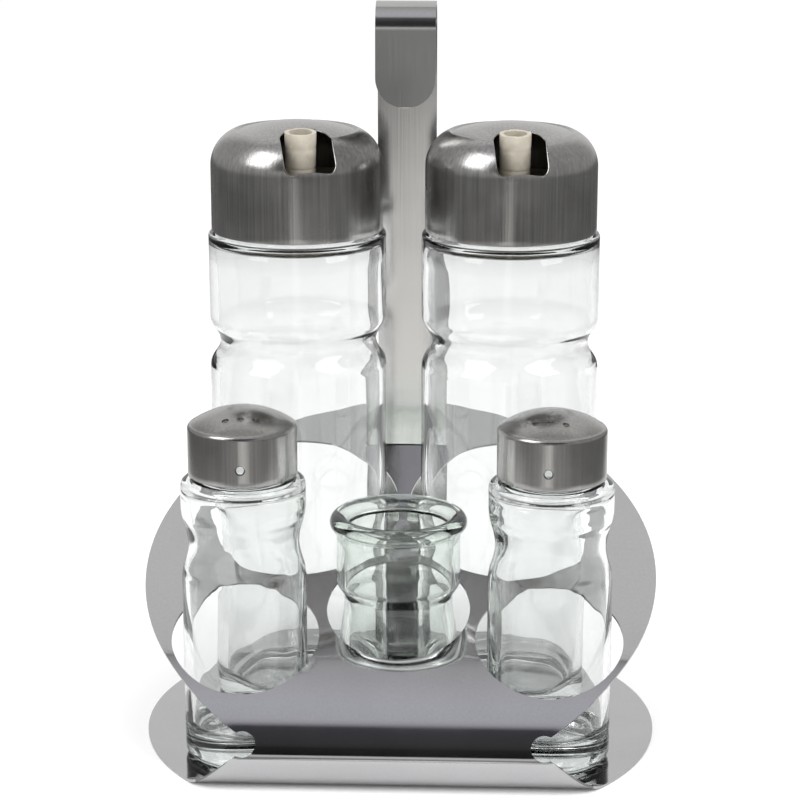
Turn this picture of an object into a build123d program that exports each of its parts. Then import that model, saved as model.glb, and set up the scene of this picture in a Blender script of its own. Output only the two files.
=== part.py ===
from build123d import *
import math
import os

# Five-piece condiment caddy, in millimetres. The origin is the centre of the round base, on the
# table: +X is to the right, +Y to the back, where the handle stands, and +Z is up.

# Stand: one stainless sheet cut as two overlapping discs and bent double at the front
sheet_thickness = 0.8
rim_margin = 2.4            # edge of the plate to the nearest hole
fold_distance = 49.8        # base centre to the line where the lower bend starts
lower_bend_radius = 9.5     # outer face of the tight bend, base to front
wall_slope = 60.0           # slope of the sheet where the tight bend meets the gentle one
upper_bend_radius = 53.0    # middle of the sheet in the gentle bend
plate_tilt = 25.3           # slope of the flat upper plate, rising to the back
plate_reach = 39.0          # end of the gentle bend to the centre of the upper plate
notch_radius = 4.0          # rounded end of the notch where the two discs meet
notch_depth = 0.7           # corner of the two outlines to the end of the notch

# Handle: one strip, welded to the base, up through the plate and over into a finger loop
strip_width = 19.4
strip_thickness = 1.2
strip_behind = 0.1          # backs of the bottles to the middle of the upright
strip_foot = 18.0
strip_foot_bend = 2.5
loop_radius = 9.0           # outside of the loop
tab_drop = 33.3             # top of the loop to the tip of the tab
tab_rise = 2.7              # top of the bottle caps to the tip of the tab
slot_clearance = 0.3

# Places of the glasses, and the play that each has in its hole of the plate
hole_clearance = 0.8
bend_allowance = 0.6        # the shakers' holes run into the gentle bend, so they are wider
bottle_y = 27.2
bottle_gap = 11.4           # from one bottle to the other
shaker_gap = 7.5            # from a bottle to the shaker before it
shaker_bearing = 13.8       # from straight ahead of a bottle outwards to its shaker
cup_gap = 6.5               # from the cup to each bottle

# Oil and vinegar bottles
bottle_radius = 28.6
bottle_wall = 2.4
bottle_floor = 7.0
bottle_neck_base = 158.0
bottle_groove_depth = 3.3
bottle_groove_drop = 36.0   # neck base to the middle of the groove
bottle_groove_half = 8.5
bottle_shoulder_rise = 1.8
bottle_shoulder_round = 1.6
bottle_neck_wall = 3.3
bottle_neck_length = 14.0
bottle_heel = 4.0

# Domed steel caps of the bottles
cap_inset = 1.1             # side of the bottle to the side of its cap
cap_neck_room = 5.7         # side of the cap to the glass neck
cap_wall = 0.5
cap_crimp = 0.9             # edge curled in at the bottom
cap_side_height = 20.8
cap_shoulder_radius = 12.0
cap_height = 34.5
cap_lift_gap = 0.3          # cap edge above the glass shoulder
mouth_width = 16.6
mouth_inner_radius = 9.3    # cap axis to the back of the pouring mouth
mouth_top_drop = 0.7        # top of the dome to the back of the mouth
mouth_sill = 2.3            # top of the straight side to the front of the mouth
mouth_corner = 2.7
cap_turns = {"left": 14.0, "right": 7.5}

# Plastic pourers inside the caps
pourer_play = 0.15          # flange to the inside of the steel cap
pourer_seat_gap = 0.1       # flange to the top of the glass neck
pourer_thread_gap = 0.8     # skirt to the glass neck
pourer_flange = 1.6
pourer_skirt_wall = 1.2
pourer_skirt_length = 10.0
pourer_plug_wall = 1.3
pourer_plug_length = 6.0
pourer_plug_gap = 0.2
spout_base_radius = 4.7
spout_tip_radius = 5.0
spout_wall = 1.3
spout_foot_offset = 13.6    # bottle axis to the foot of the spout
spout_tip_offset = 15.2
spout_rise = 18.2
vent_radius = 1.2
pourer_turns = {"left": 9.5, "right": 4.0}

# Salt and pepper shakers
shaker_radius = 19.4
shaker_wall = 2.0
shaker_floor = 9.0
shaker_neck_base = 92.2
shaker_waist_depth = 2.1
shaker_waist_drop = 21.7    # neck base to the middle of the waist
shaker_waist_half = 12.0
shaker_shoulder_rise = 3.7
shaker_shoulder_round = 2.2
shaker_neck_wall = 2.2
shaker_neck_length = 10.5
shaker_heel = 3.0
shaker_bead_height = 1.0
shaker_bead_depth = 1.2

# Steel caps of the shakers
lid_inset = 2.5             # side of the shaker to the side of its cap
lid_neck_room = 1.8         # side of the cap to the glass neck
lid_wall = 0.5
lid_gap = 0.2               # lid edge above the glass bead
lid_side_height = 14.6
lid_shoulder_radius = 1.6
lid_height = 21.0
shake_hole_radius = 1.05
shake_hole_pitch = 4.6
shake_hole_offset = 9.1     # lid axis to the row of holes
shake_hole_count = 3
lug_count = 3
lug_radius = 1.7
lug_play = 0.27             # lug to the glass neck
lug_height = 5.6            # lid edge to the middle of a lug
lid_turns = {"left": 3.0, "right": -4.5}

# Toothpick cup
cup_radius = 19.5
cup_wall = 2.4
cup_floor = 8.0
cup_height = 75.7
cup_neck_drop = 10.0        # top of the rim to the top of the straight side
cup_groove_depth = 2.4
cup_groove_drop = 27.7      # top of the rim to the middle of the groove
cup_groove_half = 6.0
cup_bulge_inset = 1.0
cup_bulge_drop = 42.5
cup_base_inset = 3.0
cup_rim_tube = 2.85
cup_rim_inset = 0.75        # straight side to the middle of the rolled rim
cup_heel = 2.5

# Shapes that follow from the sizes above
tilt = math.radians(plate_tilt)
slope = math.radians(wall_slope)
lower_bend = lower_bend_radius - sheet_thickness / 2
lower_arc = lower_bend * (math.pi - slope)
bent_length = lower_arc + upper_bend_radius * (slope - tilt)
floor_z = sheet_thickness
sides = {"left": -1, "right": 1}
upward = (Align.CENTER, Align.CENTER, Align.MIN)

bottle_x = bottle_radius + bottle_gap / 2
strip_y = bottle_y + bottle_radius + strip_behind
bearing = math.radians(shaker_bearing)
shaker_spacing = bottle_radius + shaker_gap + shaker_radius
shaker_x = bottle_x + shaker_spacing * math.sin(bearing)
shaker_y = bottle_y - shaker_spacing * math.cos(bearing)
cup_y = bottle_y - math.sqrt((bottle_radius + cup_gap + cup_radius) ** 2 - bottle_x ** 2)

bottle_shoulder_height = bottle_neck_base - bottle_shoulder_rise
shaker_shoulder_height = shaker_neck_base - shaker_shoulder_rise
cap_radius = bottle_radius - cap_inset
bottle_neck_radius = cap_radius - cap_neck_room
cap_bottom = bottle_neck_base + cap_lift_gap
cap_top = cap_bottom + cap_height
handle_height = cap_top + tab_rise + tab_drop
lid_radius = shaker_radius - lid_inset
shaker_neck_radius = lid_radius - lid_neck_room
lid_bottom = shaker_neck_base + lid_gap
cup_top = floor_z + cup_height
cup_base_radius = cup_radius - cup_base_inset


def sheet_point(s):
    """Middle of the sheet as (y, z), at the distance s along the bends from the base's fold."""
    if s <= lower_arc:
        turned = s / lower_bend
        return (-fold_distance - lower_bend * math.sin(turned),
                lower_bend_radius - lower_bend * math.cos(turned))
    start_y, start_z = sheet_point(lower_arc)
    angle = slope - (s - lower_arc) / upper_bend_radius
    return (start_y + upper_bend_radius * (math.sin(slope) - math.sin(angle)),
            start_z + upper_bend_radius * (math.cos(angle) - math.cos(slope)))


def sheet_heading(s):
    """Direction of travel along the bends at s, as (y, z)."""
    if s <= lower_arc:
        turned = s / lower_bend
        return (-math.cos(turned), math.sin(turned))
    angle = slope - (s - lower_arc) / upper_bend_radius
    return (math.cos(angle), math.sin(angle))


plate_edge = sheet_point(bent_length)
plate_centre = (plate_edge[0] + plate_reach * math.cos(tilt),
                plate_edge[1] + plate_reach * math.sin(tilt))
plate_plane = Plane(origin=(0, plate_centre[0], plate_centre[1]), x_dir=(1, 0, 0),
                    z_dir=(0, -math.sin(tilt), math.cos(tilt)))


def distance_on_plate(y):
    """Distance along the plate from its centre to where an upright line at y meets it."""
    return (y - plate_centre[0]) / math.cos(tilt)


def hole_radius(glass_radius):
    """Round hole of the tilted plate that an upright glass drops through."""
    return (glass_radius + hole_clearance) / math.cos(tilt) + sheet_thickness * math.tan(tilt) / 2


def hole_reach(x, y, radius):
    """Distance on the plate from its centre to the far side of a hole."""
    return math.hypot(x, distance_on_plate(y)) + radius


shaker_hole = hole_radius(shaker_radius) + bend_allowance
disc_radius = rim_margin + max(hole_reach(bottle_x, bottle_y, hole_radius(bottle_radius)),
                               hole_reach(shaker_x, shaker_y, shaker_hole))


# ---- stand ----

def bend_patch(first, last, half_width):
    """Bent stretch of the sheet between two distances, cut to the half width at each."""
    steps = 8
    edges = []
    for side in (-1, 1):
        points, ends = [], []
        for i in range(steps + 1):
            s = first + (last - first) * i / steps
            points.append((side * half_width(s), *sheet_point(s)))
        for s in (first, last):
            change = (last - first) * 1e-4
            near = s + change if s == first else s - change
            widening = (half_width(near) - half_width(s)) / (near - s)
            ends.append((side * widening, *sheet_heading(s)))
        edges.append(Spline(*points, tangents=ends))
    middle = Face.make_surface_from_curves(edges[0].edge(), edges[1].edge())
    return thicken(middle, sheet_thickness / 2, both=True)


def notch_punch(s, half_width, sign):
    """Round end of the notch at the distance s, square to the sheet."""
    y, z = sheet_heading(s)
    place = Plane(origin=(sign * (half_width + notch_radius - notch_depth), *sheet_point(s)),
                  x_dir=(1, 0, 0), z_dir=(0, -z, y))
    return place * Cylinder(notch_radius, 2 * notch_radius)


def stand_sheet():
    """Base disc, bent front and tilted upper plate, with the holes of the five glasses."""
    def lower_half_width(s):
        return math.sqrt(disc_radius ** 2 - (fold_distance + s) ** 2)

    def upper_half_width(s):
        return math.sqrt(disc_radius ** 2 - (plate_reach + bent_length - s) ** 2)

    waist = (plate_reach + bent_length - fold_distance) / 2
    marks = sorted((0, lower_arc, waist, bent_length))
    behind = Pos(0, disc_radius) * Rectangle(2 * disc_radius, 2 * disc_radius)
    base = extrude(Circle(disc_radius) & (Pos(0, -fold_distance) * behind), sheet_thickness)
    upper = Circle(disc_radius) & (Pos(0, -plate_reach) * behind)
    plate = plate_plane * extrude(upper, sheet_thickness / 2, both=True)
    sheet = base + plate
    for first, last in zip(marks, marks[1:]):
        sheet += bend_patch(first, last, lower_half_width if last <= waist else upper_half_width)
    for sign in sides.values():
        sheet -= notch_punch(waist, lower_half_width(waist), sign)
    holes = [(0, distance_on_plate(cup_y), hole_radius(cup_radius))]
    for sign in sides.values():
        holes += [(sign * bottle_x, distance_on_plate(bottle_y), hole_radius(bottle_radius)),
                  (sign * shaker_x, distance_on_plate(shaker_y) - bend_allowance, shaker_hole)]
    for x, y, radius in holes:
        sheet -= plate_plane * Pos(x, y) * Cylinder(radius, 2 * lower_bend_radius)
    slot = Box(strip_width + 2 * slot_clearance, strip_thickness + 2 * slot_clearance,
               2 * disc_radius * math.sin(tilt))
    slot_z = plate_centre[1] + (strip_y - plate_centre[0]) * math.tan(tilt)
    return sheet - Pos(0, strip_y, slot_z) * slot


def handle_strip():
    """Strip from its foot on the base, up through the plate and over into the finger loop."""
    half = strip_thickness / 2
    foot_z = floor_z + half
    bend = strip_foot_bend
    loop = loop_radius - half
    loop_z = handle_height - loop_radius
    tip_z = handle_height - tab_drop
    path = [Line((strip_y + strip_foot, foot_z), (strip_y + bend, foot_z)),
            CenterArc((strip_y + bend, foot_z + bend), bend, 180, 90),
            Line((strip_y, foot_z + bend), (strip_y, loop_z)),
            CenterArc((strip_y - loop, loop_z), loop, 0, 180),
            Line((strip_y - 2 * loop, loop_z), (strip_y - 2 * loop, tip_z))]
    ribbon = trace(Wire([edge.edge() for edge in path]), strip_thickness)
    strip = extrude(Plane.YZ * ribbon, strip_width / 2, both=True)
    tab_y = strip_y - 2 * loop
    round_z = tip_z + strip_width / 2
    below = Box(2 * strip_width, 3 * strip_thickness, strip_width)
    round_end = Rot(90, 0, 0) * Cylinder(strip_width / 2, 3 * strip_thickness)
    corners = Pos(0, tab_y, round_z - strip_width / 2) * below - Pos(0, tab_y, round_z) * round_end
    heel_y = strip_y + strip_foot
    blunt = fillet(strip.edges().filter_by(Axis.Z).filter_by_position(Axis.Y, heel_y - 1, heel_y + 1), 4)
    return blunt - corners


# ---- glass ----

def upright_wall(stations):
    """Side of a turned glass: straight between stations of one radius, else an S-curve."""
    edges = []
    for (r1, z1), (r2, z2) in zip(stations, stations[1:]):
        if math.isclose(r1, r2):
            edges.append(Line((r1, z1), (r2, z2)))
        else:
            edges.append(Spline((r1, z1), (r2, z2), tangents=((0, 1), (0, 1))))
    return edges


def turned(edges):
    """Solid of revolution about Z from a closed profile in radius and height."""
    return revolve(Plane.XZ * make_face([edge.edge() for edge in edges]), axis=Axis.Z)


def foot_edges(radius, heel, floor, inner_radius, inner_corner):
    """Underside with its shallow punt and rounded heel, and the inner floor, of a glass."""
    punt = 0.8
    ring = radius - heel - 2.0
    outside = [ThreePointArc((0, floor_z + punt), (ring / 2, floor_z + punt * 0.75), (ring, floor_z)),
               Line((ring, floor_z), (radius - heel, floor_z)),
               CenterArc((radius - heel, floor_z + heel), heel, 270, 90)]
    top = floor_z + floor
    inside = [CenterArc((inner_radius - inner_corner, top + inner_corner), inner_corner, 270, 90),
              Line((inner_radius - inner_corner, top), (0, top)),
              Line((0, top), (0, floor_z + punt))]
    return outside, inside


def necked_glass(radius, wall, floor, heel, stations, shoulder, neck):
    """Closed-bottomed glass with a waisted side, a rounded shoulder and a straight neck."""
    shoulder_z, shoulder_round = shoulder
    neck_radius, neck_wall, neck_base, neck_length, bead_depth, bead_height = neck
    inner = radius - wall
    bore = neck_radius - neck_wall
    top = neck_base + neck_length
    corner = 2 * wall
    outside, inside = foot_edges(radius, heel, floor, inner, corner)
    ledge = neck_radius + bead_depth
    ledge_z = neck_base - bead_height
    fall = 0.4
    turn = Spline((radius, shoulder_z), (radius - shoulder_round, ledge_z - fall),
                  tangents=((0, 1), (shoulder_round + ledge - radius, fall)))
    lip = neck_wall / 3
    over = [turn, Line(turn @ 1, (ledge, ledge_z))]
    if bead_height > 0:
        over += [Line((ledge, ledge_z), (ledge, neck_base)),
                 Line((ledge, neck_base), (neck_radius, neck_base))]
    over += [Line((neck_radius, neck_base), (neck_radius, top - lip)),
            CenterArc((neck_radius - lip, top - lip), lip, 0, 90),
            Line((neck_radius - lip, top), (bore + lip, top)),
            CenterArc((bore + lip, top - lip), lip, 90, 90),
            Line((bore, top - lip), (bore, neck_base)),
            Spline((bore, neck_base), (inner, shoulder_z - wall), tangents=((0, -1), (0, -1)))]
    inner_floor = floor_z + floor + corner
    heights = [(inner + (r - radius), z) for r, z in stations]
    inner_side = upright_wall([(inner, inner_floor)] + heights + [(inner, shoulder_z - wall)])
    outer_side = upright_wall([(radius, floor_z + heel)] + stations + [(radius, shoulder_z)])
    return turned(outside + outer_side + over + inner_side + inside)


def groove_stations(radius, depth, height, half):
    """Stations of one smooth groove around a glass."""
    return [(radius, height - half), (radius - depth, height), (radius, height + half)]


def bottle_glass():
    """Oil or vinegar bottle, with its axis on Z."""
    neck = (bottle_neck_radius, bottle_neck_wall, bottle_neck_base, bottle_neck_length, 0.0, 0.0)
    stations = groove_stations(bottle_radius, bottle_groove_depth,
                               bottle_neck_base - bottle_groove_drop, bottle_groove_half)
    return necked_glass(bottle_radius, bottle_wall, bottle_floor, bottle_heel, stations,
                        (bottle_shoulder_height, bottle_shoulder_round), neck)


def shaker_glass():
    """Salt or pepper shaker, with its axis on Z."""
    neck = (shaker_neck_radius, shaker_neck_wall, shaker_neck_base, shaker_neck_length,
            shaker_bead_depth, shaker_bead_height)
    stations = groove_stations(shaker_radius, shaker_waist_depth,
                               shaker_neck_base - shaker_waist_drop, shaker_waist_half)
    return necked_glass(shaker_radius, shaker_wall, shaker_floor, shaker_heel, stations,
                        (shaker_shoulder_height, shaker_shoulder_round), neck)


def toothpick_cup():
    """Small open cup with a thick rolled rim, with its axis on Z."""
    inner = cup_base_radius - cup_wall
    corner = 2 * cup_wall
    outside, inside = foot_edges(cup_base_radius, cup_heel, cup_floor, inner, corner)
    groove_z = cup_top - cup_groove_drop
    neck_z = cup_top - cup_neck_drop
    stations = [(cup_base_radius, floor_z + cup_heel),
                (cup_radius - cup_bulge_inset, cup_top - cup_bulge_drop),
                (cup_radius - cup_groove_depth, groove_z),
                (cup_radius, groove_z + cup_groove_half), (cup_radius, neck_z)]
    outer_side = upright_wall(stations)
    inner_stations = [(r - cup_wall, z) for r, z in stations[1:]]
    inner_side = upright_wall([(inner, floor_z + cup_floor + corner)] + inner_stations)
    rim = cup_radius - cup_rim_inset
    rim_z = cup_top - cup_rim_tube
    drop = math.sqrt(cup_rim_tube ** 2 - cup_rim_inset ** 2)
    over = [Line((cup_radius, neck_z), (cup_radius, rim_z - drop)),
            ThreePointArc((cup_radius, rim_z - drop), (rim + cup_rim_tube, rim_z), (rim, cup_top)),
            CenterArc((rim, rim_z), cup_rim_tube, 90, 90),
            Spline((rim - cup_rim_tube, rim_z), (cup_radius - cup_wall, neck_z),
                   tangents=((0, -1), (0, -1)))]
    return turned(outside + outer_side + over + inner_side + inside)


# ---- closures ----

def domed_profile(radius, bottom, side_top, top, shoulder, edge):
    """Half section of a straight side that rounds over into a shallow dome."""
    dome = radius
    for _ in range(40):
        # the dome's ball touches the shoulder's ball from inside and reaches the top on the axis
        reach = math.hypot(radius - shoulder, (top - dome) - side_top)
        dome += (reach + shoulder - dome) / 2
    centre_z = top - dome
    angle = math.atan2(side_top - centre_z, radius - shoulder)
    touch = (dome * math.cos(angle), centre_z + dome * math.sin(angle))
    middle = angle / 2
    over = (radius - shoulder + shoulder * math.cos(middle), side_top + shoulder * math.sin(middle))
    crown = math.pi / 4 + angle / 2
    above = (dome * math.cos(crown), centre_z + dome * math.sin(crown))
    return [Line((0, bottom), (radius - edge, bottom)),
            CenterArc((radius - edge, bottom + edge), edge, 270, 90),
            Line((radius, bottom + edge), (radius, side_top)),
            ThreePointArc((radius, side_top), over, touch),
            ThreePointArc(touch, above, (0, top)), Line((0, top), (0, bottom))]


def domed_shell(radius, wall, bottom, side_top, top, shoulder):
    """Pressed steel shell, open below."""
    edge = wall / 2
    outer = turned(domed_profile(radius, bottom, side_top, top, shoulder, edge))
    inner = turned(domed_profile(radius - wall, bottom - 2 * wall, side_top, top - wall,
                                 shoulder - wall, edge))
    return outer - inner


def bottle_cap():
    """Domed cap with its pouring mouth to the front, with its axis on Z."""
    side_top = cap_bottom + cap_side_height
    shell = domed_shell(cap_radius, cap_wall, cap_bottom, side_top, cap_top, cap_shoulder_radius)
    curl = Pos(0, 0, cap_bottom) * Cylinder(cap_radius - cap_wall / 2, cap_wall, align=upward)
    curl -= Pos(0, 0, cap_bottom) * Cylinder(cap_radius - cap_wall - cap_crimp, 3 * cap_wall)
    shell += curl
    front = (cap_radius, side_top + mouth_sill)
    back = (mouth_inner_radius, cap_top - mouth_top_drop)
    chord = math.hypot(front[0] - back[0], back[1] - front[1])
    lean = math.atan2(back[1] - front[1], front[0] - back[0])
    straight = chord - mouth_width / 2
    shape = Pos(0, straight / 2) * Rectangle(mouth_width, straight)
    shape = fillet(shape.vertices().group_by(Axis.Y)[0], mouth_corner)
    shape += Pos(0, straight) * Circle(mouth_width / 2)
    face = Plane(origin=(0, -front[0], front[1]), x_dir=(1, 0, 0),
                 z_dir=(0, -math.sin(lean), math.cos(lean)))
    punch = face * extrude(shape, cap_shoulder_radius, both=True)
    return shell - punch


def pourer():
    """Plastic insert: a flange in the cap, a skirt and a plug on the neck, and a leaning spout."""
    bottom = bottle_neck_base + bottle_neck_length + pourer_seat_gap
    top = bottom + pourer_flange
    rim = cap_radius - cap_wall - pourer_play
    skirt = bottle_neck_radius + pourer_thread_gap
    bore = bottle_neck_radius - bottle_neck_wall
    plug = bore - pourer_plug_gap
    points = [(0, top), (rim, top), (rim, bottom), (skirt + pourer_skirt_wall, bottom),
              (skirt + pourer_skirt_wall, bottom - pourer_skirt_length),
              (skirt, bottom - pourer_skirt_length), (skirt, bottom), (plug, bottom),
              (plug, bottom - pourer_plug_length), (plug - pourer_plug_wall, bottom - pourer_plug_length),
              (plug - pourer_plug_wall, bottom), (0, bottom)]
    body = revolve(Plane.XZ * make_face(Polyline(*points, close=True)), axis=Axis.Z)
    advance = spout_tip_offset - spout_foot_offset
    length = math.hypot(advance, spout_rise)
    stem = Plane(origin=(0, -spout_foot_offset, top), x_dir=(1, 0, 0), z_dir=(0, -advance, spout_rise))
    sunk = pourer_flange / 2
    body += stem * Pos(0, 0, -sunk) * Cone(spout_base_radius, spout_tip_radius, length + sunk, align=upward)
    clear = 2 * pourer_flange
    body -= stem * Pos(0, 0, -clear) * Cone(spout_base_radius - spout_wall, spout_tip_radius - spout_wall,
                                            length + 2 * clear, align=upward)
    return body - Pos(0, spout_foot_offset, top) * Cylinder(vent_radius, 4 * pourer_flange)


def shaker_cap():
    """Domed lid with its shaking holes to the front, with its axis on Z."""
    side_top = lid_bottom + lid_side_height
    top = lid_bottom + lid_height
    shell = domed_shell(lid_radius, lid_wall, lid_bottom, side_top, top, lid_shoulder_radius)
    out = shaker_neck_radius + lug_play + lid_wall + lug_radius
    bore = Cylinder(lid_radius - lid_wall / 2, 2 * (lid_bottom + lid_height))
    for i in range(lug_count):
        place = Rot(0, 0, 360 * i / lug_count) * Pos(0, -out, lid_bottom + lug_height)
        shell += place * Sphere(lug_radius + lid_wall) & bore
        shell -= place * Sphere(lug_radius)
    for i in range(shake_hole_count):
        x = (i - (shake_hole_count - 1) / 2) * shake_hole_pitch
        shell -= Pos(x, -shake_hole_offset, top) * Cylinder(shake_hole_radius, lid_height / 2)
    return shell


def placed(solid, x, y, turn=0.0):
    """A turned piece stood at its place in the caddy."""
    return Pos(x, y, 0) * Rot(0, 0, turn) * solid


def write(node, shape):
    """One STEP file per node."""
    shape.label = node
    export_step(shape, f"parts/{node}.step")


def main():
    os.makedirs("parts", exist_ok=True)
    write("stand_sheet", stand_sheet())
    write("handle_strip", handle_strip())
    write("toothpick_cup", placed(toothpick_cup(), 0, cup_y))
    bottle, cap, insert = bottle_glass(), bottle_cap(), pourer()
    shaker, lid = shaker_glass(), shaker_cap()
    for side, sign in sides.items():
        write(f"bottle_glass_{side}", placed(bottle, sign * bottle_x, bottle_y))
        write(f"bottle_cap_{side}", placed(cap, sign * bottle_x, bottle_y, cap_turns[side]))
        write(f"pourer_{side}", placed(insert, sign * bottle_x, bottle_y, pourer_turns[side]))
        write(f"shaker_glass_{side}", placed(shaker, sign * shaker_x, shaker_y))
        write(f"shaker_cap_{side}", placed(lid, sign * shaker_x, shaker_y, lid_turns[side]))


if __name__ == "__main__":
    main()
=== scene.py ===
import math

import bmesh
import bpy
from mathutils import Matrix, Vector, noise
from mathutils.bvhtree import BVHTree
from mathutils.geometry import interpolate_bezier


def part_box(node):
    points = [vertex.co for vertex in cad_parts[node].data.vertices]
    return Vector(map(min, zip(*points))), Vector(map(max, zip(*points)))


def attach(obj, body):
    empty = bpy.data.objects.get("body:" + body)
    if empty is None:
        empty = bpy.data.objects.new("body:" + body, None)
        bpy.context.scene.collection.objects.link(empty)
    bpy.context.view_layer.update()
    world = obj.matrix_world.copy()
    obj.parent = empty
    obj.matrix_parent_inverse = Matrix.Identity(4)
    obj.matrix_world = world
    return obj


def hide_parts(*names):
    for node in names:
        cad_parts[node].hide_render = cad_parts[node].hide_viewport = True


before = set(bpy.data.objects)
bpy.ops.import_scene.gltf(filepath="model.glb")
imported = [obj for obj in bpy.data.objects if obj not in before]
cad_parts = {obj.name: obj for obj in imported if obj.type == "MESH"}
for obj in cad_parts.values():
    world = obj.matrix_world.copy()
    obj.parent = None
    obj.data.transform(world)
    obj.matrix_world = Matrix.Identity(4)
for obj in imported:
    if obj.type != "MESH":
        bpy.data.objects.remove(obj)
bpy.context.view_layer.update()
mm = 0.001
sides = {"left": -1, "right": 1}
weld = 0.001  # points nearer than this, in mm, are one


# helpers for all pieces

def nodeBox(node):
    low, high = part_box(node)
    return Vector(low) / mm, Vector(high) / mm


def nodeAxis(node):
    # upright axis through the middle of a turned piece
    low, high = nodeBox(node)
    return (low.x + high.x) / 2, (low.y + high.y) / 2


def rounded(start, end, startPull, endPull, steps):
    # smooth run between two profile points, each with its own pull; the last point is left to the next run
    handles = [Vector((*p, 0)) for p in (start, (start[0] + startPull[0], start[1] + startPull[1]),
                                         (end[0] + endPull[0], end[1] + endPull[1]), end)]
    return [(p.x, p.y) for p in interpolate_bezier(*handles, steps + 1)[:-1]]


def arc(centre, radius, first, last, steps):
    # stretch of a circle, angles in degrees; the last point is left to the next run
    turns = [math.radians(first + (last - first) * i / steps) for i in range(steps)]
    return [(centre[0] + radius * math.cos(a), centre[1] + radius * math.sin(a)) for a in turns]


def lathe(profile, steps=128):
    # closed surface of revolution about Z from (radius, height) points
    bm = bmesh.new()
    verts = [bm.verts.new((r, 0, z)) for r, z in profile]
    edges = [bm.edges.new(pair) for pair in zip(verts, verts[1:])]
    bmesh.ops.spin(bm, geom=verts + edges, cent=(0, 0, 0), axis=(0, 0, 1), angle=math.tau,
                   steps=steps, use_merge=True)
    bmesh.ops.remove_doubles(bm, verts=bm.verts, dist=weld)
    bmesh.ops.recalc_face_normals(bm, faces=bm.faces)
    return bm


def looseObject(name, bm):
    mesh = bpy.data.meshes.new(name)
    bm.to_mesh(mesh)
    bm.free()
    piece = bpy.data.objects.new(name, mesh)
    bpy.context.scene.collection.objects.link(piece)
    return piece


def applied(piece):
    # the piece's modifiers, made part of its mesh
    bpy.context.view_layer.update()
    done = bpy.data.meshes.new_from_object(piece.evaluated_get(bpy.context.evaluated_depsgraph_get()))
    piece.modifiers.clear()
    piece.data = done
    return piece


def cut(piece, cutter, operation="DIFFERENCE"):
    modifier = piece.modifiers.new("cut", "BOOLEAN")
    modifier.object = cutter
    modifier.operation = operation
    modifier.solver = "EXACT"
    applied(piece)
    bpy.data.objects.remove(cutter)
    return piece


edgeAngle = 40  # degrees between two faces that makes their edge worth rounding


def chamfered(piece, width, segments=1):
    modifier = piece.modifiers.new("edge", "BEVEL")
    modifier.width = width
    modifier.segments = segments
    modifier.limit_method = "ANGLE"
    modifier.angle_limit = math.radians(edgeAngle)
    modifier.use_clamp_overlap = True
    return applied(piece)


def join(piece, *others):
    # adds the meshes of loose objects to the piece
    bm = bmesh.new()
    for one in (piece, *others):
        bm.from_mesh(one.data)
    bm.to_mesh(piece.data)
    bm.free()
    for one in others:
        bpy.data.objects.remove(one)
    return piece


def walled(piece, thickness):
    # gives a bare sheet its thickness, half to each side
    modifier = piece.modifiers.new("wall", "SOLIDIFY")
    modifier.thickness = thickness
    modifier.offset = 0
    modifier.use_even_offset = True
    return applied(piece)


def finished(piece, material, body, node, sharp=30, x=0, y=0, turn=0, flat=False):
    # puts the piece at its place in metres, with its finish, on its body, for its node
    place = Matrix.Translation((x, y, 0)) @ Matrix.Rotation(math.radians(turn), 4, "Z")
    piece.data.transform(Matrix.Scale(mm, 4) @ place)
    piece.data.shade_smooth()
    piece.data.set_sharp_from_angle(angle=math.radians(sharp))
    if flat:
        # shading that follows the large faces, not their rounded edges
        piece.modifiers.new("normals", "WEIGHTED_NORMAL").keep_sharp = True
        applied(piece)
    piece.data.materials.clear()
    piece.data.materials.append(material)
    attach(piece, body)
    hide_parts(node)
    return piece


# materials

def nodeGroup(name, inputs, outputs):
    group = bpy.data.node_groups.new(name, "ShaderNodeTree")
    for label, kind, value in inputs:
        socket = group.interface.new_socket(label, in_out="INPUT", socket_type=kind)
        if value is not None:
            socket.default_value = value
    for label, kind in outputs:
        group.interface.new_socket(label, in_out="OUTPUT", socket_type=kind)
    return group, group.nodes.new("NodeGroupInput"), group.nodes.new("NodeGroupOutput")


brushing = {"detail": 3, "smudgeDetail": 4, "share": 0.5, "depth": 0.00002}


def makeStreaks():
    # fine brushed lines along Z, round a turned piece or across a flat one, and slow cloudy smudges
    group, inside, outside = nodeGroup(
        "brushedStreaks",
        (("Vector", "NodeSocketVector", None), ("Fineness", "NodeSocketFloat", 900.0),
         ("Length", "NodeSocketFloat", 20.0), ("Smudge", "NodeSocketFloat", 45.0)),
        (("Streak", "NodeSocketFloat"), ("Cloud", "NodeSocketFloat")))
    nodes, links = group.nodes, group.links
    stretch = nodes.new("ShaderNodeCombineXYZ")
    links.new(inside.outputs["Fineness"], stretch.inputs["X"])
    links.new(inside.outputs["Fineness"], stretch.inputs["Y"])
    links.new(inside.outputs["Length"], stretch.inputs["Z"])
    scaled = nodes.new("ShaderNodeVectorMath")
    scaled.operation = "MULTIPLY"
    links.new(inside.outputs["Vector"], scaled.inputs[0])
    links.new(stretch.outputs["Vector"], scaled.inputs[1])
    streak = nodes.new("ShaderNodeTexNoise")
    streak.inputs["Scale"].default_value = 1
    streak.inputs["Detail"].default_value = brushing["detail"]
    links.new(scaled.outputs["Vector"], streak.inputs["Vector"])
    cloud = nodes.new("ShaderNodeTexNoise")
    cloud.inputs["Detail"].default_value = brushing["smudgeDetail"]
    links.new(inside.outputs["Vector"], cloud.inputs["Vector"])
    links.new(inside.outputs["Smudge"], cloud.inputs["Scale"])
    links.new(streak.outputs["Fac"], outside.inputs["Streak"])
    links.new(cloud.outputs["Fac"], outside.inputs["Cloud"])
    return group


streaks = makeStreaks()


def newMaterial(name):
    material = bpy.data.materials.new(name)
    material.use_nodes = True
    nodes, links = material.node_tree.nodes, material.node_tree.links
    return material, nodes, links, nodes["Principled BSDF"]


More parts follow.
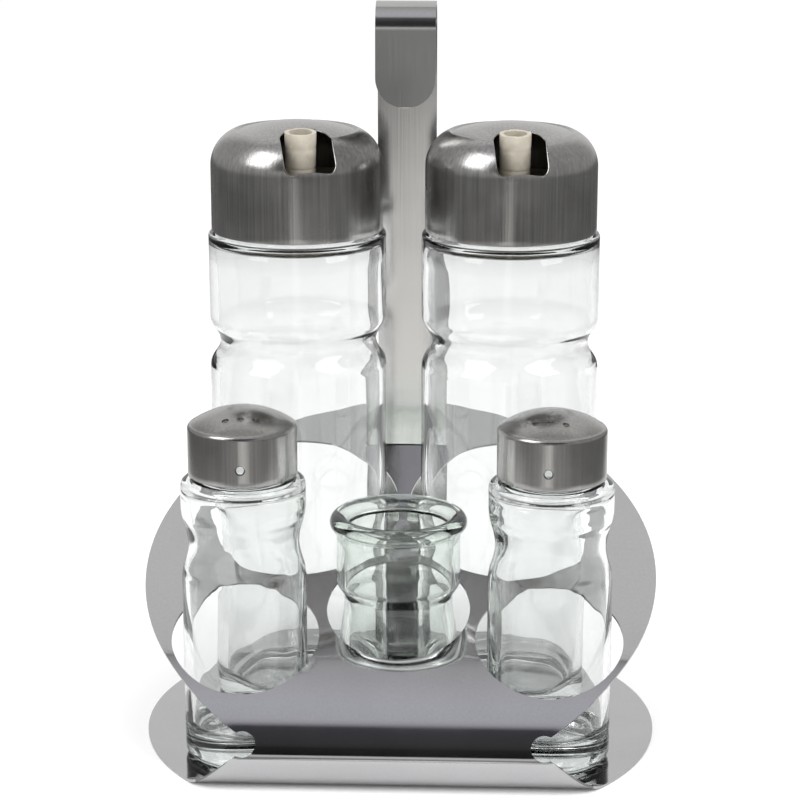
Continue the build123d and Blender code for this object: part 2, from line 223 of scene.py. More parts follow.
def ramp(nodes, links, source, stops):
    node = nodes.new("ShaderNodeValToRGB")
    while len(node.color_ramp.elements) < len(stops):
        node.color_ramp.elements.new(0.5)
    for element, (place, colour) in zip(node.color_ramp.elements, stops):
        element.position = place
        element.color = (*colour, 1)
    links.new(source, node.inputs["Fac"])
    return node.outputs["Color"]


noiseLow, noiseHigh = 0.3, 0.7  # where nearly all of a noise pattern's values lie


def spread(nodes, links, source, low, high):
    # a noise pattern turned into a range of values
    node = nodes.new("ShaderNodeMapRange")
    node.inputs["From Min"].default_value = noiseLow
    node.inputs["From Max"].default_value = noiseHigh
    node.inputs["To Min"].default_value = low
    node.inputs["To Max"].default_value = high
    links.new(source, node.inputs["Value"])
    return node.outputs["Result"]


def steel(name, dark, light, roughness, fineness, length, grain):
    # metal with a brushed grain, smudges in its gloss and a slow change of tone; a grain above 1 is deeper
    material, nodes, links, shader = newMaterial(name)
    place = nodes.new("ShaderNodeTexCoord")
    pattern = nodes.new("ShaderNodeGroup")
    pattern.node_tree = streaks
    pattern.inputs["Fineness"].default_value = fineness
    pattern.inputs["Length"].default_value = length
    links.new(place.outputs["Object"], pattern.inputs["Vector"])
    tone = nodes.new("ShaderNodeMath")
    tone.operation = "MULTIPLY_ADD"
    tone.inputs[1].default_value = brushing["share"]
    links.new(pattern.outputs["Streak"], tone.inputs[0])
    smudge = nodes.new("ShaderNodeMath")
    smudge.operation = "MULTIPLY"
    smudge.inputs[1].default_value = 1 - brushing["share"]
    links.new(pattern.outputs["Cloud"], smudge.inputs[0])
    links.new(smudge.outputs["Value"], tone.inputs[2])
    links.new(ramp(nodes, links, tone.outputs["Value"], ((noiseLow, dark), (noiseHigh, light))),
              shader.inputs["Base Color"])
    links.new(spread(nodes, links, pattern.outputs["Cloud"], *roughness), shader.inputs["Roughness"])
    bump = nodes.new("ShaderNodeBump")
    bump.inputs["Distance"].default_value = brushing["depth"] * max(grain, 1)
    bump.inputs["Strength"].default_value = min(grain, 1)
    links.new(pattern.outputs["Streak"], bump.inputs["Height"])
    links.new(bump.outputs["Normal"], shader.inputs["Normal"])
    shader.inputs["Metallic"].default_value = 1
    return material


glassWaves = {"scale": 60, "detail": 1, "depth": 0.0004, "strength": 0.25, "roughest": 0.02, "bending": 1.5}


def glass(name, colour, absorbing, density):
    # clear pressed glass: slow waves in the surface, and a tint that deepens with its thickness
    material, nodes, links, shader = newMaterial(name)
    place = nodes.new("ShaderNodeTexCoord")
    waves = nodes.new("ShaderNodeTexNoise")
    waves.inputs["Scale"].default_value = glassWaves["scale"]
    waves.inputs["Detail"].default_value = glassWaves["detail"]
    links.new(place.outputs["Object"], waves.inputs["Vector"])
    bump = nodes.new("ShaderNodeBump")
    bump.inputs["Distance"].default_value = glassWaves["depth"]
    bump.inputs["Strength"].default_value = glassWaves["strength"]
    links.new(waves.outputs["Fac"], bump.inputs["Height"])
    links.new(bump.outputs["Normal"], shader.inputs["Normal"])
    links.new(spread(nodes, links, waves.outputs["Fac"], 0, glassWaves["roughest"]), shader.inputs["Roughness"])
    shader.inputs["Base Color"].default_value = (*colour, 1)
    shader.inputs["IOR"].default_value = glassWaves["bending"]
    shader.inputs["Transmission Weight"].default_value = 1
    volume = nodes.new("ShaderNodeVolumeAbsorption")
    volume.inputs["Color"].default_value = (*absorbing, 1)
    volume.inputs["Density"].default_value = density
    links.new(volume.outputs["Volume"], nodes["Material Output"].inputs["Volume"])
    return material


plasticMottle = {"scale": 300, "detail": 4, "low": 0.35, "high": 0.65, "smooth": 0.38, "rough": 0.55,
                 "depth": 0.0001, "strength": 0.3}


def plastic(name, dark, light):
    # moulded plastic, slightly mottled in tone and gloss
    material, nodes, links, shader = newMaterial(name)
    place = nodes.new("ShaderNodeTexCoord")
    mottle = nodes.new("ShaderNodeTexNoise")
    mottle.inputs["Scale"].default_value = plasticMottle["scale"]
    mottle.inputs["Detail"].default_value = plasticMottle["detail"]
    links.new(place.outputs["Object"], mottle.inputs["Vector"])
    tones = (plasticMottle["low"], dark), (plasticMottle["high"], light)
    links.new(ramp(nodes, links, mottle.outputs["Fac"], tones), shader.inputs["Base Color"])
    links.new(spread(nodes, links, mottle.outputs["Fac"], plasticMottle["smooth"], plasticMottle["rough"]),
              shader.inputs["Roughness"])
    bump = nodes.new("ShaderNodeBump")
    bump.inputs["Distance"].default_value = plasticMottle["depth"]
    bump.inputs["Strength"].default_value = plasticMottle["strength"]
    links.new(mottle.outputs["Fac"], bump.inputs["Height"])
    links.new(bump.outputs["Normal"], shader.inputs["Normal"])
    return material


sheetSteel = steel("polishedSheet", (0.57, 0.57, 0.58), (0.63, 0.63, 0.64), (0.05, 0.1), 1400, 1400, 0.08)
stripSteel = steel("polishedStrip", (0.57, 0.565, 0.555), (0.65, 0.645, 0.635), (0.14, 0.19), 1500, 15, 0.3)
capSteel = steel("satinCap", (0.31, 0.305, 0.3), (0.6, 0.59, 0.575), (0.21, 0.29), 1300, 25, 1.5)
lidSteel = steel("satinLid", (0.36, 0.355, 0.345), (0.54, 0.53, 0.515), (0.2, 0.28), 1500, 30, 0.8)
bottleGlassFinish = glass("bottleGlass", (0.875, 0.882, 0.88), (0.8, 0.88, 0.84), 7)
shakerGlassFinish = glass("shakerGlass", (0.95, 0.96, 0.955), (0.8, 0.88, 0.85), 7)
cupGlassFinish = glass("cupGlass", (0.92, 0.935, 0.922), (0.6, 0.85, 0.68), 26)
pourerPlastic = plastic("pourerPlastic", (0.44, 0.4, 0.33), (0.54, 0.5, 0.42))
print("materials made")


# stand sheet

sheet = {"thickness": 0.8, "fold": 49.8, "lowerBend": 9.1, "wallSlope": 60, "upperBend": 53,
         "plateTilt": 25.3, "plateReach": 39, "notchRadius": 4.0, "notchDepth": 0.7, "edge": 0.12,
         "columns": 40, "rowsPerDisc": 48, "bendStep": 1.0, "cutterHeight": 30, "holeSteps": 160,
         "notchSteps": 96, "waistStep": 0.1}
play = {"hole": 0.8, "bend": 0.6, "slot": 0.3}  # room round what stands in the sheet


def bendAngles():
    return math.radians(sheet["wallSlope"]), math.radians(sheet["plateTilt"])


def bentLengths():
    slope, tilt = bendAngles()
    return sheet["lowerBend"] * (math.pi - slope), sheet["upperBend"] * (slope - tilt)


def sheetPoint(t):
    # middle of the sheet as (y, z), at the distance t from the base's centre towards the front and up
    slope, tilt = bendAngles()
    lowerArc, upperArc = bentLengths()
    middle = sheet["thickness"] / 2
    if t <= sheet["fold"]:
        return -t, middle
    s = t - sheet["fold"]
    if s <= lowerArc:
        turned = s / sheet["lowerBend"]
        return (-sheet["fold"] - sheet["lowerBend"] * math.sin(turned),
                middle + sheet["lowerBend"] * (1 - math.cos(turned)))
    turned = math.pi - slope
    startY = -sheet["fold"] - sheet["lowerBend"] * math.sin(turned)
    startZ = middle + sheet["lowerBend"] * (1 - math.cos(turned))
    s = min(s - lowerArc, upperArc)
    angle = slope - s / sheet["upperBend"]
    y = startY + sheet["upperBend"] * (math.sin(slope) - math.sin(angle))
    z = startZ + sheet["upperBend"] * (math.cos(angle) - math.cos(slope))
    flat = max(0, t - sheet["fold"] - lowerArc - upperArc)
    return y + flat * math.cos(tilt), z + flat * math.sin(tilt)


def sheetRows(radius):
    # distances of the grid's rows: close together where the outline turns and in the bends
    bends = sum(bentLengths())
    spacing = sheet["fold"] + bends + sheet["plateReach"]
    steps = sheet["rowsPerDisc"]
    first = math.acos(-sheet["fold"] / radius)
    rows = [-radius * math.cos(first * i / steps) for i in range(steps)]
    bendSteps = round(bends / sheet["bendStep"] / 2) * 2
    rows += [sheet["fold"] + bends * i / bendSteps for i in range(bendSteps)]
    last = math.acos(sheet["plateReach"] / radius)
    rows += [spacing - radius * math.cos(last + (math.pi - last) * i / steps) for i in range(steps + 1)]
    return rows, spacing


def platePlace(x, y):
    # matrix that stands a shape on the plate where an upright line at x, y meets it
    _, tilt = bendAngles()
    edgeY, edgeZ = sheetPoint(sheet["fold"] + sum(bentLengths()))
    z = edgeZ + (y - edgeY) * math.tan(tilt)
    return Matrix.Translation((x, y, z)) @ Matrix.Rotation(tilt, 4, "X")


def roundCutter(radius, depth, place, steps):
    bm = bmesh.new()
    bmesh.ops.create_cone(bm, cap_ends=True, segments=steps, radius1=radius, radius2=radius, depth=depth)
    bmesh.ops.transform(bm, matrix=place, verts=bm.verts)
    return looseObject("cutter", bm)


def boxCutter(width, length, height, place):
    bm = bmesh.new()
    bmesh.ops.create_cube(bm, size=1)
    bmesh.ops.scale(bm, vec=(width, length, height), verts=bm.verts)
    bmesh.ops.transform(bm, matrix=place, verts=bm.verts)
    return looseObject("cutter", bm)


def buildSheet():
    low, high = nodeBox("stand_sheet")
    radius = (high.x - low.x) / 2
    rows, spacing = sheetRows(radius)
    waist = spacing / 2
    bm = bmesh.new()
    bmesh.ops.create_grid(bm, x_segments=sheet["columns"], y_segments=len(rows) - 1, size=0.5)
    for vert in bm.verts:
        t = rows[round((vert.co.y + 0.5) * (len(rows) - 1))]
        away = t if t < waist else spacing - t
        half = math.sqrt(max(0, radius ** 2 - away ** 2))
        y, z = sheetPoint(t)
        vert.co = (2 * half * vert.co.x, y, z)
    bmesh.ops.remove_doubles(bm, verts=bm.verts, dist=weld)
    bmesh.ops.recalc_face_normals(bm, faces=bm.faces)
    piece = looseObject("standSheet", bm)
    walled(piece, sheet["thickness"])
    near = sheet["waistStep"]
    behind, ahead = (Vector(sheetPoint(waist + step)) for step in (-near, near))
    y, z = (behind + ahead) / 2
    lean = Matrix.Rotation(math.atan2(ahead.y - behind.y, ahead.x - behind.x), 4, "X")
    out = math.sqrt(radius ** 2 - waist ** 2) + sheet["notchRadius"] - sheet["notchDepth"]
    for sign in sides.values():
        place = Matrix.Translation((sign * out, y, z)) @ lean
        cut(piece, roundCutter(sheet["notchRadius"], 2 * sheet["notchRadius"], place, sheet["notchSteps"]))
    _, tilt = bendAngles()
    for node, more in (("toothpick_cup", 0), ("bottle_glass_left", 0), ("bottle_glass_right", 0),
                       ("shaker_glass_left", play["bend"]), ("shaker_glass_right", play["bend"])):
        x, y = nodeAxis(node)
        glassRadius = holeGlassRadius(node)
        hole = (glassRadius + play["hole"]) / math.cos(tilt) + sheet["thickness"] * math.tan(tilt) / 2
        place = platePlace(x, y) @ Matrix.Translation((0, -more, 0))
        cut(piece, roundCutter(hole + more, sheet["cutterHeight"], place, sheet["holeSteps"]))
    stripLow, stripHigh = nodeBox("handle_strip")
    thickness = handle["thickness"]
    upright = stripHigh.y - handle["foot"] - thickness / 2
    place = Matrix.Translation((0, upright, platePlace(0, upright).translation.z))
    cut(piece, boxCutter(stripHigh.x - stripLow.x + 2 * play["slot"], thickness + 2 * play["slot"],
                         sheet["cutterHeight"], place))
    chamfered(piece, sheet["edge"])
    return finished(piece, sheetSteel, "stand", "stand_sheet")


def holeGlassRadius(node):
    if node == "toothpick_cup":
        return cup["radius"]
    low, high = nodeBox(node)
    return (high.x - low.x) / 2


# handle strip

handle = {"thickness": 1.2, "foot": 18.0, "footBend": 2.5, "loopRadius": 9.0, "tabDrop": 33.3,
          "flare": 2.0, "corner": 4.0, "edge": 0.4, "edgeSteps": 3, "footSteps": 8, "loopSteps": 40, "tabSteps": 24}


def buildHandle():
    low, high = nodeBox("handle_strip")
    half, middle = (high.x - low.x) / 2, handle["thickness"] / 2
    uprightY = high.y - handle["foot"]
    footZ = low.z + middle
    loop = handle["loopRadius"] - middle
    loopZ = high.z - handle["loopRadius"]
    bm = bmesh.new()
    heel = [bm.verts.new((side * (half - handle["corner"]), high.y, footZ)) for side in (-1, 1)]
    front = [bm.edges.new(heel)]

    def onward(move, widen=0.0):
        grown = bmesh.ops.extrude_edge_only(bm, edges=front)["geom"]
        verts = [g for g in grown if isinstance(g, bmesh.types.BMVert)]
        bmesh.ops.translate(bm, vec=move, verts=verts)
        for vert in verts:
            vert.co.x += widen if vert.co.x > 0 else -widen
        front[:] = [g for g in grown if isinstance(g, bmesh.types.BMEdge)]

    def bent(centre, angle, steps):
        verts = list({v for e in front for v in e.verts})
        grown = bmesh.ops.spin(bm, geom=verts + front, cent=centre, axis=(1, 0, 0), angle=angle,
                               steps=steps)["geom_last"]
        front[:] = [g for g in grown if isinstance(g, bmesh.types.BMEdge)]

    corner = handle["corner"]
    for i in range(handle["footSteps"]):
        a, b = (math.pi / 2 * k / handle["footSteps"] for k in (i, i + 1))
        onward((0, -corner * (math.cos(a) - math.cos(b)), 0), corner * (math.sin(b) - math.sin(a)))
    onward((0, uprightY + handle["footBend"] - (high.y - corner), 0))
    bent((0, uprightY + handle["footBend"], footZ + handle["footBend"]), -math.pi / 2, handle["footSteps"])
    onward((0, 0, loopZ - footZ - handle["footBend"]))
    # the tab flares a little towards the front
    flare = math.radians(handle["flare"])
    bent((0, uprightY - loop, loopZ), math.pi - flare, handle["loopSteps"])
    tipZ = high.z - handle["tabDrop"]
    down = Vector((0, -math.sin(flare), -math.cos(flare)))
    onward(down * (loopZ + loop * math.sin(flare) - tipZ - half) / math.cos(flare))
    steps = handle["tabSteps"]
    for i in range(steps):
        a, b = (math.pi / 2 * k / steps for k in (i, i + 1))
        onward(down * half * (math.sin(b) - math.sin(a)), half * (math.cos(b) - math.cos(a)))
    bmesh.ops.remove_doubles(bm, verts=bm.verts, dist=weld)
    bmesh.ops.recalc_face_normals(bm, faces=bm.faces)
    piece = looseObject("handleStrip", bm)
    walled(piece, handle["thickness"])
    chamfered(piece, handle["edge"], segments=handle["edgeSteps"])
    return finished(piece, stripSteel, "stand", "handle_strip", flat=True)


# glasses

foot = {"punt": 0.8, "ringWidth": 2, "puntPull": 0.5, "ringPull": 0.3, "ringRise": 0.4, "puntSteps": 6,
        "cornerSteps": 8}


def footRun(radius, heel, floor, innerRadius, corner, base):
    # underside with its punt and heel, and the inner floor, as two runs of profile points
    punt, steps = foot["punt"], foot["cornerSteps"]
    ring = radius - heel - foot["ringWidth"]
    outer = rounded((0, base + punt), (ring, base), (ring * foot["puntPull"], 0),
                    (-ring * foot["ringPull"], punt * foot["ringRise"]), foot["puntSteps"])
    outer += [(ring, base)] + arc((radius - heel, base + heel), heel, 270, 360, steps)
    top = base + floor
    inner = arc((innerRadius - corner, top + corner), corner, 360, 270, steps)
    inner += [(innerRadius - corner, top), (0, top)]
    return outer, inner


wavePull, straightSteps = 0.42, 4


def wallRun(stations, steps):
    # side of a glass from low to high: straight where two stations have one radius, else an S-curve
    points = []
    for (r1, z1), (r2, z2) in zip(stations, stations[1:]):
        if abs(r1 - r2) < weld:
            points += [(r1, z1 + (z2 - z1) * i / straightSteps) for i in range(straightSteps)]
        else:
            pull = wavePull * (z2 - z1)
            points += rounded((r1, z1), (r2, z2), (0, pull), (0, -pull), steps)
    return points


bottle = {"wall": 2.4, "floor": 7.0, "heel": 4.0, "neckLength": 14.0, "neckRadius": 21.8,
          "neckWall": 3.3, "grooveDepth": 3.3, "grooveDrop": 36.0, "grooveHalf": 8.5,
          "shoulderRise": 1.8, "shoulderRound": 1.6, "bead": 0.0, "beadHeight": 0.0,
          "ripple": 0.35, "rippleSize": 14.0, "waveSteps": 14, "steps": 144}
shaker = {"wall": 2.0, "floor": 9.0, "heel": 3.0, "neckLength": 10.5, "neckRadius": 15.1,
          "neckWall": 2.2, "grooveDepth": 2.1, "grooveDrop": 21.7, "grooveHalf": 12.0,
          "shoulderRise": 3.7, "shoulderRound": 2.2, "bead": 1.2, "beadHeight": 1.0,
          "ripple": 0.35, "rippleSize": 9.0, "waveSteps": 14, "steps": 128}


# shape of every shoulder and neck: pulls as shares of a run
neckShape = {"ledgeDrop": 0.4, "roundPull": 0.6, "roundRise": 0.1, "innerPull": 0.4, "lipShare": 3,
             "roundSteps": 8, "lipSteps": 5}
uneven = {"stretch": 0.6, "axisRoom": 1, "floorRoom": 1, "wallRoom": 0.05}


def neckedProfile(radius, base, top, sizes):
    neck, wall = sizes["neckRadius"], sizes["wall"]
    inner, bore = radius - wall, neck - sizes["neckWall"]
    neckBase = top - sizes["neckLength"]
    shoulder = neckBase - sizes["shoulderRise"]
    groove, half = neckBase - sizes["grooveDrop"], sizes["grooveHalf"]
    outerFoot, innerFoot = footRun(radius, sizes["heel"], sizes["floor"], inner, 2 * wall, base)

    def stations(r, low, high):
        return [(r, low), (r, groove - half), (r - sizes["grooveDepth"], groove), (r, groove + half), (r, high)]

    ledge = neck + sizes["bead"]
    ledgeZ = neckBase - sizes["beadHeight"]
    rounding = sizes["shoulderRound"]
    profile = outerFoot + wallRun(stations(radius, base + sizes["heel"], shoulder), sizes["waveSteps"])
    edge = radius - rounding, ledgeZ - neckShape["ledgeDrop"]
    pull, steps = neckShape["roundPull"], neckShape["roundSteps"]
    profile += rounded((radius, shoulder), edge, (0, pull * (ledgeZ - shoulder)),
                       (pull * rounding, -neckShape["roundRise"]), steps)
    profile += [edge, (ledge, ledgeZ)]
    if sizes["beadHeight"] > 0:
        profile += [(ledge, neckBase), (neck, neckBase)]
    lip, lipSteps = sizes["neckWall"] / neckShape["lipShare"], neckShape["lipSteps"]
    profile += arc((neck - lip, top - lip), lip, 0, 90, lipSteps)
    profile += arc((bore + lip, top - lip), lip, 90, 180, lipSteps) + [(bore, top - lip)]
    pull = neckShape["innerPull"] * (neckBase - shoulder + wall)
    profile += rounded((bore, neckBase), (inner, shoulder - wall), (0, -pull), (0, pull), steps)
    side = wallRun(stations(inner, base + sizes["floor"] + 2 * wall, shoulder - wall), sizes["waveSteps"])
    return profile + [(inner, shoulder - wall)] + side[::-1] + innerFoot


def rippled(bm, innerLimit, amount, size):
    # uneven inner wall of pressed glass; the outside stays true
    for vert in bm.verts:
        radial = Vector((vert.co.x, vert.co.y, 0))
        if uneven["axisRoom"] < radial.length < innerLimit(vert.co.z):
            wave = noise.noise(Vector((vert.co.x, vert.co.y, vert.co.z * uneven["stretch"])) / size)
            vert.co += radial.normalized() * amount * wave


def buildNecked(node, name, sizes, material, body):
    low, high = nodeBox(node)
    radius = (high.x - low.x) / 2
    x, y = nodeAxis(node)
    bm = lathe(neckedProfile(radius, low.z, high.z, sizes), sizes["steps"])
    neckBase = high.z - sizes["neckLength"]
    inner = radius - sizes["wall"] + uneven["wallRoom"]
    highest = neckBase - sizes["shoulderRise"] - sizes["wall"]
    lowest = low.z + sizes["floor"] + uneven["floorRoom"]

    def innerLimit(z):
        # radius of the inner wall at a height, a little outside it; 0 where the wall stays true
        groove = neckBase - sizes["grooveDrop"]
        near = max(0, 1 - abs(z - groove) / sizes["grooveHalf"])
        if z > highest or z < lowest:
            return 0
        return inner - sizes["grooveDepth"] * near * near * (3 - 2 * near)

    rippled(bm, innerLimit, sizes["ripple"], sizes["rippleSize"])
    return finished(looseObject(name, bm), material, body, node, sharp=50, x=x, y=y)


cup = {"radius": 19.5, "wall": 2.4, "floor": 8.0, "heel": 2.5, "neckDrop": 10.0, "grooveDepth": 2.4,
       "grooveDrop": 27.7, "grooveHalf": 6.0, "bulgeInset": 1.0, "bulgeDrop": 42.5, "baseInset": 3.0,
       "rimTube": 2.85, "rimInset": 0.75, "rimPull": 3, "rimSteps": 30, "neckSteps": 8, "waveSteps": 12,
       "steps": 128}


def buildCup():
    low, high = nodeBox("toothpick_cup")
    x, y = nodeAxis("toothpick_cup")
    radius, wall, top, base = cup["radius"], cup["wall"], high.z, low.z
    footRadius = radius - cup["baseInset"]
    grooveZ, neckZ = top - cup["grooveDrop"], top - cup["neckDrop"]
    side = [(footRadius, base + cup["heel"]), (radius - cup["bulgeInset"], top - cup["bulgeDrop"]),
            (radius - cup["grooveDepth"], grooveZ), (radius, grooveZ + cup["grooveHalf"]), (radius, neckZ)]
    outerFoot, innerFoot = footRun(footRadius, cup["heel"], cup["floor"], footRadius - wall, 2 * wall, base)
    tube, rim = cup["rimTube"], radius - cup["rimInset"]
    rimZ = top - tube
    start = -math.degrees(math.acos(cup["rimInset"] / tube))
    innerSide = [(footRadius - wall, base + cup["floor"] + 2 * wall)] + [(r - wall, z) for r, z in side[1:]]
    profile = outerFoot + wallRun(side, cup["waveSteps"]) + [(radius, neckZ)]
    profile += arc((rim, rimZ), tube, start, 180, cup["rimSteps"])
    profile += rounded((rim - tube, rimZ), (radius - wall, neckZ), (0, -cup["rimPull"]), (0, cup["rimPull"]),
                       cup["neckSteps"])
    profile += [(radius - wall, neckZ)] + wallRun(innerSide, cup["waveSteps"])[::-1] + innerFoot
    bm = lathe(profile, cup["steps"])
    return finished(looseObject("toothpickCup", bm), cupGlassFinish, "cup", "toothpick_cup",
                    sharp=50, x=x, y=y)


# bottle caps

# both kinds of cap
shellEdge = {"band": 2, "round": 0.3, "roundMiddle": 0.09, "domeSteps": 20, "domeTries": 40}
cap = {"wall": 0.5, "sideHeight": 20.8, "shoulder": 12.0, "curl": 0.9, "mouthWidth": 16.6,
       "mouthBack": 9.3, "mouthTopDrop": 0.7, "mouthSill": 2.3, "mouthCorner": 2.7, "lip": 0.28,
       "lipSink": 0.7, "punchReach": 12, "cornerSteps": 8, "archSteps": 32, "lipSteps": 3, "steps": 160,
       "turn": {"left": 14.0, "right": 7.5}}


def domeRun(radius, sideTop, top, shoulder, steps):
    # side's upper end, the rounded shoulder and the shallow dome up to the axis
    # the dome's radius is found by closing in on the one that meets both
    dome = radius
    for _ in range(shellEdge["domeTries"]):
        reach = math.hypot(radius - shoulder, (top - dome) - sideTop)
        dome += (reach + shoulder - dome) / 2
    angle = math.degrees(math.atan2(sideTop - (top - dome), radius - shoulder))
    points = arc((radius - shoulder, sideTop), shoulder, 0, angle, steps)
    return points + arc((0, top - dome), dome, angle, 90, steps) + [(0, top)]


def shellProfile(radius, wall, bottom, sideTop, top, shoulder, curl):
    # pressed shell as one closed profile, with its lower edge curled in
    edge, middle, steps = shellEdge["round"], shellEdge["roundMiddle"], shellEdge["domeSteps"]
    outer = [(radius - wall - curl, bottom), (radius - edge, bottom)]
    outer += [(radius - middle, bottom + middle), (radius, bottom + edge), (radius, bottom + shellEdge["band"])]
    outer += domeRun(radius, sideTop, top, shoulder, steps)
    inner = domeRun(radius - wall, sideTop, top - wall, shoulder - wall, steps)
    return outer + inner[::-1] + [(radius - wall, bottom + wall), (radius - wall - curl, bottom + wall),
                                  (radius - wall - curl, bottom)]


def mouthFrame(radius, sideTop, top):
    # where the mouth's outline lies: front point, back point, chord and a matrix from its plane
    front = Vector((0, -radius, sideTop + cap["mouthSill"]))
    back = Vector((0, -cap["mouthBack"], top - cap["mouthTopDrop"]))
    chord = (back - front).length
    along = (back - front).normalized()
    across = Vector((1, 0, 0))
    out = across.cross(along)
    place = Matrix((across, along, out)).transposed().to_4x4()
    place.translation = front
    return place, chord


def mouthOutline(chord):
    # D-shaped mouth seen square on: straight sides, rounded corners low, half a circle at the back
    half, corner, steps = cap["mouthWidth"] / 2, cap["mouthCorner"], cap["cornerSteps"]
    points = arc((half - corner, corner), corner, -90, 0, steps) + [(half, corner)]
    points += arc((0, chord - half), half, 0, 180, cap["archSteps"])
    points += [(-half, chord - half), (-half, corner)]
    return points + arc((corner - half, corner), corner, 180, 270, steps) + [(corner - half, 0)]


def buildCap(side):
    node = f"bottle_cap_{side}"
    low, high = nodeBox(node)
    x, y = nodeAxis(node)
    radius = (high.x - low.x) / 2
    sideTop = low.z + cap["sideHeight"]
    profile = shellProfile(radius, cap["wall"], low.z, sideTop, high.z, cap["shoulder"], cap["curl"])
    shell = lathe(profile, cap["steps"])
    surface = BVHTree.FromBMesh(shell)
    piece = looseObject(f"bottleCap_{side}", shell)
    place, chord = mouthFrame(radius, sideTop, high.z)
    outline = mouthOutline(chord)
    reach = cap["punchReach"]
    punch = bmesh.new()
    face = punch.faces.new([punch.verts.new((u, v, -reach)) for u, v in outline])
    grown = bmesh.ops.extrude_face_region(punch, geom=[face])["geom"]
    ahead = [g for g in grown if isinstance(g, bmesh.types.BMVert)]
    bmesh.ops.translate(punch, vec=(0, 0, 2 * reach), verts=ahead)
    bmesh.ops.recalc_face_normals(punch, faces=punch.faces)
    bmesh.ops.transform(punch, matrix=place, verts=punch.verts)
    cut(piece, looseObject("cutter", punch))
    edge = []
    for u, v in outline:
        start, down = place @ Vector((u, v, reach)), -(place.to_3x3() @ Vector((0, 0, 1)))
        hit, normal, _, _ = surface.ray_cast(start, down)
        if hit:
            edge.append(hit - normal * cap["lip"] * cap["lipSink"])
    join(piece, beading("lip", edge, cap["lip"]))
    return finished(piece, capSteel, f"bottle_closure_{side}", node, x=x, y=y,
                    turn=cap["turn"][side])


def beading(name, points, radius):
    # closed round bead that follows a ring of points
    line = bpy.data.curves.new(name, "CURVE")
    line.dimensions = "3D"
    line.bevel_depth = radius
    line.bevel_resolution = cap["lipSteps"]
    spline = line.splines.new("POLY")
    spline.points.add(len(points) - 1)
    for point, place in zip(spline.points, points):
        point.co = (*place, 1)
    spline.use_cyclic_u = True
    piece = bpy.data.objects.new(name, line)
    bpy.context.scene.collection.objects.link(piece)
    bpy.context.view_layer.update()
    mesh = bpy.data.meshes.new_from_object(piece.evaluated_get(bpy.context.evaluated_depsgraph_get()))
    bpy.data.objects.remove(piece)
    made = bpy.data.objects.new(name, mesh)
    bpy.context.scene.collection.objects.link(made)
    return made


# pourers

pourer = {"flange": 1.6, "skirtRoom": 0.8, "skirtWall": 1.2, "skirtLength": 10.0, "plugWall": 1.3,
          "plugLength": 6.0, "plugGap": 0.2, "baseRadius": 4.7, "tipRadius": 5.0, "wall": 1.3,
          "footOffset": 13.6, "tipOffset": 15.2, "rise": 18.2, "ringHeights": (7.0, 13.4),
          "ringDepth": 0.2, "ringHalf": 0.5, "rimEdge": 0.3, "flare": 0.8, "flareLow": 0.2,
          "flareHigh": 0.4, "seatGap": 0.1, "sinkShare": 0.5, "ragged": 0.3, "raggedHeight": 0.3,
          "raggedScale": 0.9, "raggedShift": 7, "sideSteps": 36, "spoutSteps": 64, "steps": 96,
          "turn": {"left": 9.5, "right": 4.0}}


def buildPourer(side):
    node = f"pourer_{side}"
    low, high = nodeBox(node)
    x, y = nodeAxis(node)
    rim = (high.x - low.x) / 2
    _, glassTop = nodeBox(f"bottle_glass_{side}")
    bottom = glassTop.z + pourer["seatGap"]
    top = bottom + pourer["flange"]
    skirt = bottle["neckRadius"] + pourer["skirtRoom"]
    plug = bottle["neckRadius"] - bottle["neckWall"] - pourer["plugGap"]
    lowSkirt, lowPlug = bottom - pourer["skirtLength"], bottom - pourer["plugLength"]
    edge, skirtOut, plugIn = pourer["rimEdge"], skirt + pourer["skirtWall"], plug - pourer["plugWall"]
    flange = [(0, top), (rim - edge, top), (rim, top - edge), (rim, bottom), (skirtOut, bottom),
              (skirtOut, lowSkirt), (skirt, lowSkirt), (skirt, bottom), (plug, bottom), (plug, lowPlug),
              (plugIn, lowPlug), (plugIn, bottom), (0, bottom)]
    piece = looseObject(f"pourer_{side}", lathe(flange, pourer["steps"]))
    advance = pourer["tipOffset"] - pourer["footOffset"]
    length = math.hypot(advance, pourer["rise"])
    lean = Matrix.Translation((0, -pourer["footOffset"], top)) @ Matrix.Rotation(
        math.atan2(advance, pourer["rise"]), 4, "X")
    base, tip, wall = pourer["baseRadius"], pourer["tipRadius"], pourer["wall"]
    flareFoot = base + pourer["flare"], -pourer["flareLow"]
    outer = [flareFoot, (base + pourer["flareLow"], pourer["flareHigh"])]
    for i in range(1, pourer["sideSteps"] + 1):
        z = length * i / pourer["sideSteps"]
        groove = max(max(0, 1 - abs(z - ring) / pourer["ringHalf"]) for ring in pourer["ringHeights"])
        outer.append((base + (tip - base) * z / length - pourer["ringDepth"] * groove, z))
    sunk = -pourer["flange"] * pourer["sinkShare"]
    inner = [(tip - wall, length), (base - wall, sunk)]
    spout = lathe(outer + inner + [(flareFoot[0], sunk), flareFoot], pourer["spoutSteps"])
    for vert in spout.verts:
        if vert.co.z > length - pourer["raggedHeight"]:
            wave = noise.noise(vert.co * pourer["raggedScale"] + Vector((0, 0, pourer["raggedShift"] * x)))
            vert.co.z -= pourer["ragged"] * max(0, wave)
    bmesh.ops.transform(spout, matrix=lean, verts=spout.verts)
    join(piece, looseObject("spout", spout))
    return finished(piece, pourerPlastic, f"bottle_closure_{side}", node, x=x, y=y,
                    turn=pourer["turn"][side])


# shaker caps

